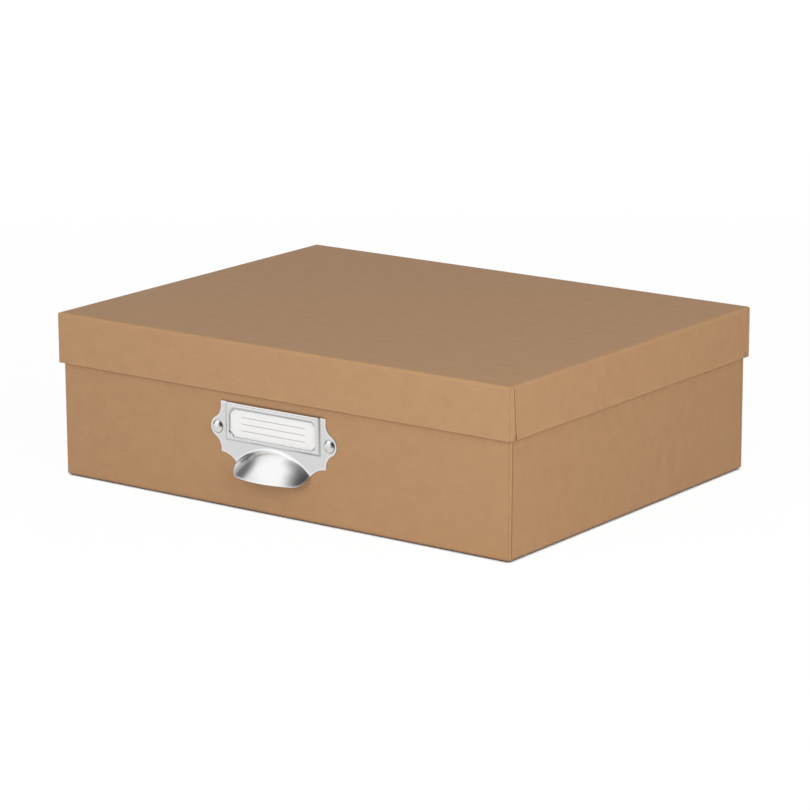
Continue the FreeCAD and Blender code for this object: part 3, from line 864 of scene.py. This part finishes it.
def thickened(points, marks, quads, thickness, steps=8):
    """Two skins and a half-round edge.

    A point's normal n is the mean of the cross products of its quads' diagonals. At the sheet's
    end the way outwards m is the edge's direction crossed with the normal, and the rolled edge is
    p + t/2 * (n * (cos a - 1) + m * sin a), for a from 0 to 180.
    """
    key = np.round(points, 3) + 0.0
    _, first, same = np.unique(key, axis=0, return_index=True, return_inverse=True)
    same = same.ravel()
    welded = points[first]
    corners = same[quads]
    a, b, c, d = welded[corners.T]
    face_normal = np.cross(c - a, d - b)
    normal = np.zeros_like(welded)
    np.add.at(normal, corners.ravel(), np.repeat(face_normal, 4, axis=0))
    normal /= np.linalg.norm(normal, axis=1, keepdims=True)
    edges = np.stack([corners, np.roll(corners, -1, axis=1)], -1).reshape(-1, 2)
    edges = edges[edges[:, 0] != edges[:, 1]]
    _, where, times = np.unique(np.sort(edges, 1), axis=0, return_index=True, return_counts=True)
    ends = edges[where[times == 1]]
    along = welded[ends[:, 1]] - welded[ends[:, 0]]
    along /= np.linalg.norm(along, axis=1, keepdims=True)
    outward = np.zeros_like(welded)
    for side in (0, 1):
        np.add.at(outward, ends[:, side], np.cross(along, normal[ends[:, side]]))
    outward -= (outward * normal).sum(1, keepdims=True) * normal
    outward /= np.maximum(np.linalg.norm(outward, axis=1, keepdims=True), 1e-9)
    angle = np.linspace(0, pi, steps + 1)[:, None, None, None]
    swing = normal[ends] * (np.cos(angle) - 1) + outward[ends] * np.sin(angle)
    roll = welded[ends] + thickness / 2 * swing
    count = len(points)
    back = points - thickness * normal[same]
    number = np.arange(roll[..., 0].size).reshape(roll.shape[:3]) + 2 * count
    rim = np.stack([number[:-1, :, 0], number[1:, :, 0], number[1:, :, 1], number[:-1, :, 1]], -1)
    faces = np.vstack([quads, quads[:, ::-1] + count, rim.reshape(-1, 4)])
    rim_marks = np.broadcast_to(marks[first][ends], (steps + 1, *ends.shape, 2)).reshape(-1, 2)
    all_points = np.vstack([points, back, roll.reshape(-1, 3)])
    return all_points, np.vstack([marks, marks, rim_marks]), faces


skins, skin_marks, skin_quads = thickened(*both_halves(patches), SHEET_T)
holder_marks = {"crease": skin_marks[:, 0], "rubbed_and_highlight": skin_marks[:, 1]}
holder = make_piece("holder_plate", skins, skin_quads, holder_steel, marks=holder_marks, sharp=50)
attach(holder, "base")
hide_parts("label_holder")

# %% [markdown]
# ## Rivets and washers
#
# Turned parts are profiles carried round an axis, here square to the wall. A profile lists radii
# and depths, and its short steps at the corners are the small radii that catch the light. A head
# is darker round its foot, most on its lower half.


# %% Turned parts
def turned(name, centre_x, centre_z, profile, finish, dark_ring_from, stations=64):
    """Carries (radius, y) pairs round an axis along Y: x = r cos a, z = r sin a.

    Beyond a given radius the head is marked darker, by a constant less a share of sin a, so the
    lower half is darkest.
    """
    angle = np.linspace(0, 2 * pi, stations, endpoint=False)
    radius, depth = (column[:, None] for column in np.asarray(profile).T)
    ring = [centre_x + radius * np.cos(angle), depth + 0 * angle, centre_z + radius * np.sin(angle)]
    points = np.stack(ring, -1)
    quads = grid_quads(*points.shape[:2], closed=True)
    outward = np.interp(radius, [dark_ring_from, dark_ring_from + 0.3], [0, 1])
    dark_foot_ring = outward * (0.7 - 0.3 * np.sin(angle))
    marks = {"crease": dark_foot_ring, "rubbed_and_highlight": 0 * dark_foot_ring}
    return make_piece(name, points.reshape(-1, 3), quads, finish, marks=marks)


HEAD_R, HEAD_H, SHANK_R, TAIL_R = 4.0, 2.2, 1.5, 2.4
HOLE_R = SHANK_R + 0.1
head_face = WALL_Y - SHEET_T
ball_r = (HEAD_R**2 + HEAD_H**2) / (2 * HEAD_H)
cap = np.linspace(0, asin((HEAD_R - 0.06) / ball_r), 22)
dome = np.stack([ball_r * np.sin(cap), head_face - HEAD_H + ball_r * (1 - np.cos(cap))], -1)
for side in ("left", "right"):
    rivet_low, rivet_high = box_mm("rivet_" + side)
    washer_low, washer_high = box_mm("washer_" + side)
    centre_x, _, centre_z = (rivet_low + rivet_high) / 2
    near, tail, end = washer_low[1], washer_high[1], rivet_high[1]
    pin = [*dome, (HEAD_R, head_face - 0.1), (HEAD_R - 0.03, head_face - 0.02),
           (HEAD_R - 0.12, head_face), (SHANK_R, head_face), (SHANK_R, tail),
           (TAIL_R - 0.15, tail), (TAIL_R, tail + 0.15), (TAIL_R - 0.1, end - 0.25),
           (TAIL_R - 0.5, end - 0.03), (0.8, end), (0, end)]
    rivet = turned("rivet_head_" + side, centre_x, centre_z, pin, rivet_steel, HEAD_R - 0.5)
    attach(rivet, "base")
    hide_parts("rivet_" + side)
    wide = (washer_high[0] - washer_low[0]) / 2
    ring = [(HOLE_R, near), (wide - 0.12, near), (wide, near + 0.12), (wide, tail - 0.15),
            (wide - 0.05, tail - 0.05), (wide - 0.15, tail), (SHANK_R + 0.25, tail),
            (HOLE_R, tail - 0.15), (HOLE_R, near)]
    washer = turned("washer_ring_" + side, centre_x, centre_z, ring, washer_steel, wide)
    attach(washer, "base")
    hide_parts("washer_" + side)

# %% [markdown]
# ## The label card
#
# The card slips down behind the frame until it meets the slope of the pressed sheet. It is smooth
# and white, with slightly round corners and plain grey lines to write on. Its rows run straight
# from the middle of one face to the edge, over a small bevel, and back on the other.

# %% Card finish and shape
LINE_LEVELS = (47.4, 51.4, 55.4)
LINE_HALF = 23.6


def ruled_card():
    """White card with three thin grey lines, laid out on the card's own coordinates."""
    finish = Finish("card_ruled")
    place = finish.place()
    off_middle = abs(finish.along(0, place) - HOLDER_X * MM)
    within = off_middle.step(LINE_HALF * MM, (LINE_HALF - 0.4) * MM)
    height = finish.along(2, place)
    lines = 0
    for level in LINE_LEVELS:
        lines = abs(height - level * MM).step(0.28 * MM, 0.12 * MM) + lines
    fibre = finish.noise(12, (1.6, 0.5, 0.5), 3, 0.6)
    shade = fibre * 0.5 + finish.noise(0, (6, 6, 6), 2) * 0.5
    paper = finish.blend(shade, written(229, 229, 228), written(243, 243, 242))
    colour = finish.blend(lines * within * 0.8, paper, written(138, 140, 144))
    return finish.done(colour, 0.5 + fibre * 0.08, fibre, 0.01, 0.5)


BEVEL, CARD_CORNER_R = 0.05, 0.8
SLOPE_ROOM = 0.3  # how far the lower edge stays clear of the slope
card_low, card_high = box_mm("label_card")
card_low[2] += SLOPE_ROOM
card_half = (card_high - card_low)[[0, 2]] / 2
card_t = card_high[1] - card_low[1]
card_rows = np.vstack([
    section(np.array([card_half[1], 7, 4, 1.5, 0.4, BEVEL]), card_t),
    section([0.0, 0.0], [card_t - BEVEL, BEVEL]),
    section(np.array([BEVEL, 0.4, 4, card_half[1]]), 0)])
card_stations = (np.linspace(0, card_half[0] - 0.9, 30), np.radians(np.linspace(0, 90, 8)),
                 np.linspace(0.95, card_half[1], 12))
card_x, card_z, *_ = carried_round(card_half, CARD_CORNER_R, card_rows, card_stations, (4.0, 4.0))
card_x, card_z = four_quarters(card_x, EASTWARD), four_quarters(card_z, NORTHWARD)
card_y = card_high[1] - card_rows[:, 1][:, None] + 0 * card_x
middle = (card_low + card_high) / 2
card_points = np.stack([middle[0] + card_x, card_y, middle[2] + card_z], -1).reshape(-1, 3)
card = make_piece("name_card", card_points, grid_quads(*card_x.shape, closed=True), ruled_card())
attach(card, "card")
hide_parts("label_card")

# %% [markdown]
# ## Camera
#
# The camera stands far off with a long lens, so the box's sides are almost parallel. Three angles
# turn it: the way round the box, the way down and a slight roll.

# %% Camera
CAMERA_AT = (1.215524, -1.654746, 0.552707)
AZIMUTH, ELEVATION, ROLL = (radians(a) for a in (36.30, 13.99, -0.21))
SENSOR = 36.0
FOCAL_PIXELS, IMAGE_PIXELS = 3502.3, 810
lens = bpy.data.cameras.new("camera")
lens.sensor_width = SENSOR
lens.lens = SENSOR * FOCAL_PIXELS / IMAGE_PIXELS
lens.clip_start, lens.clip_end = 0.1, 50
camera = in_scene(bpy.data.objects.new("camera", lens))
level = cos(ELEVATION)
ahead = Vector((-sin(AZIMUTH) * level, cos(AZIMUTH) * level, -sin(ELEVATION)))
flat_right = ahead.cross(Vector((0, 0, 1))).normalized()
flat_up = flat_right.cross(ahead)
right = flat_right * cos(ROLL) + flat_up * sin(ROLL)
up = flat_up * cos(ROLL) - flat_right * sin(ROLL)
turn = Matrix((right, up, -ahead)).transposed().to_4x4()
camera.matrix_world = Matrix.Translation(CAMERA_AT) @ turn
bpy.context.scene.camera = camera
print("camera looks along", [round(c, 3) for c in ahead])

# %% [markdown]
# ## Floor and room
#
# The box stands on a plain pale floor in a white room. A white background shouldn't put more
# light on the box, so floor and room glow only for what the camera, a mirror or a glass sees, and
# the floor still takes the box's shadow. Where the box touches it, ambient occlusion dims the
# floor's glow and paints a dark brown contact shadow into its colour. Mirrors see the floor
# darker to the right and the room darker behind the box, as painted shade. Polished metal needs
# something dark to show its shape, so reflections see two soft dark cards.


# %% Floor
def seen_directly(graph):
    """1 for rays from the camera, off a mirror or through glass."""
    camera, mirror, glass = (graph.node("LightPath", output=f"Is {kind} Ray")
                             for kind in ("Camera", "Glossy", "Transmission"))
    return (camera + mirror + glass).step(0, 1)


def sheets_in_scene(name, corners):
    """An object of flat quads, from their corners in metres."""
    mesh = bpy.data.meshes.new(name)
    mesh.from_pydata(corners, [], np.arange(len(corners)).reshape(-1, 4).tolist())
    return in_scene(bpy.data.objects.new(name, mesh))


FLOOR_HALF, FLOOR_Z = 6.0, -0.0004
floor_corners = [(x * FLOOR_HALF, y * FLOOR_HALF, FLOOR_Z)
                 for x, y in ((-1, -1), (1, -1), (1, 1), (-1, 1))]
floor = sheets_in_scene("floor", floor_corners)
paint = Graph(bpy.data.materials.new("floor_paint"))
crevice = paint.node("AmbientOcclusion", {"samples": 3}, {"Distance": 0.0022}, "AO")
# Painted contact shadow: near the box the floor's colour turns dark brown.
floor_colour = paint.blend(crevice.step(0.15, 0.45), PAINTED_SHADE_BROWN, written(238, 238, 238))
plain = paint.node("BsdfDiffuse", {}, {"Color": floor_colour})
# Painted shade seen only in reflections: the floor is darker to the right.
mirrored = paint.blend(paint.along(0).step(0.04, 0.3), grey(0.86), grey(0.2))
far_off = paint.node("VectorMath", {"operation": "LENGTH"}, {0: paint.place()}, "Value")
white = paint.blend(far_off.step(0.5, 2.0), grey(1.03), grey(1.09))
shown = paint.blend(paint.node("LightPath", output="Is Camera Ray"), mirrored, white)
floor_glow = paint.node("Emission", {}, {"Color": shown})
glow_share = seen_directly(paint) * 0.92 * crevice.step(0.2, 0.8)
mixed = paint.node("MixShader", {}, {0: glow_share, 1: plain, 2: floor_glow})
paint.node("OutputMaterial", {}, {"Surface": mixed})
floor.data.materials.append(paint.owner)

# %% Room
room = Graph(bpy.data.worlds.new("room"))
bpy.context.scene.world = room.owner
way = room.node("TexCoord", output="Generated")


def patch(azimuth, elevation, inner, outer):
    """1 within the inner angle of a direction, falling to 0 at the outer angle, in degrees."""
    turn, rise = radians(azimuth), radians(elevation)
    toward = (sin(turn) * cos(rise), -cos(turn) * cos(rise), sin(rise))
    facing = room.node("VectorMath", {"operation": "DOT_PRODUCT"}, {0: way, 1: toward}, "Value")
    return facing.step(cos(radians(outer)), cos(radians(inner)))


softbox = patch(-32, 50, 16, 36)
dark_cards = (1 - patch(62, 32, 24, 58) * 0.94) * (1 - patch(-86, 19, 5, 24) * 0.84)
behind = room.along(1, way).step(0.1, 0.8)
unlit = dark_cards * (1 - behind * 0.4)
mirror = room.blend(unlit, grey(0.02), room.blend(softbox, grey(0.97), grey(1.2)))
seen = room.blend(room.node("LightPath", output="Is Camera Ray"), mirror, grey(1.0))
room_colour = room.blend(seen_directly(room), grey(0.385), seen)
sky = room.node("Background", {}, {"Color": room_colour})
room.node("OutputWorld", {}, {"Surface": sky})

# %% [markdown]
# ### Grey cards beside the cup
#
# The left end of the cup mirrors the wall beside it. Grey cards keep brown out of such a mirror:
# one stands just off the base's paper and one off the lid's. Only a mirror sees their fronts,
# and nothing sees their backs.

# %% Grey cards
STAND_OFF, CARD_LEFT = 0.25, -150
# Each card's right end, the wall it stands off, and its lower and upper edge.
grey_sheets = [(-31.5, WALL_Y, 8, lid_low[2]), (-12, lid_low[1], lid_low[2], lid_high[2])]
grey_corners = np.array([
    (x, wall - STAND_OFF, z) for end, wall, low, high in grey_sheets
    for x, z in ((CARD_LEFT, low), (end, low), (end, high), (CARD_LEFT, high))]) * MM
side_card = sheets_in_scene("side_card", grey_corners.tolist())
side_card.visible_camera = side_card.visible_diffuse = side_card.visible_shadow = False
side_card.visible_transmission = False
grey_card = Graph(bpy.data.materials.new("grey_card"))
fading = grey_card.blend(grey_card.along(0).step(-0.06, -0.024), grey(0.48), grey(0.95))
card_glow = grey_card.node("Emission", {}, {"Color": fading})
clear = grey_card.node("BsdfTransparent")
back = grey_card.node("NewGeometry", output="Backfacing")
one_sided = grey_card.node("MixShader", {}, {0: back, 1: card_glow, 2: clear})
grey_card.node("OutputMaterial", {}, {"Surface": one_sided})
side_card.data.materials.append(grey_card.owner)

# %% [markdown]
# ### Three soft lamps
#
# A large lamp in front shapes the front wall, a stronger and warmer one lights the right side,
# and a small one behind lifts the lid. The steel doesn't mirror them.

# %% Lamps
LAMPS_FACE = Vector((0, 0, 0.05))


def soft_lamp(name, at, size, power, colour=(1, 1, 1)):
    """A square soft lamp at a place in metres, facing the box."""
    light = bpy.data.lights.new(name, "AREA")
    light.shape, light.size, light.energy, light.color = "SQUARE", size, power, colour
    lamp = in_scene(bpy.data.objects.new(name, light))
    lamp.location = at
    lamp.visible_glossy = False
    lamp.rotation_mode = "QUATERNION"
    lamp.rotation_quaternion = (LAMPS_FACE - Vector(at)).to_track_quat("-Z", "Y")


soft_lamp("lamp_front", (0.15, -1.43, 0.56), 1.0, 8.6)
soft_lamp("lamp_right", (1.2, -0.6, 0.57), 1.0, 11.6, (1, 0.975, 0.95))
soft_lamp("lamp_back", (-1.3, 1.6, 0.3), 0.5, 12.0)
bpy.context.scene.view_settings.view_transform = "Standard"
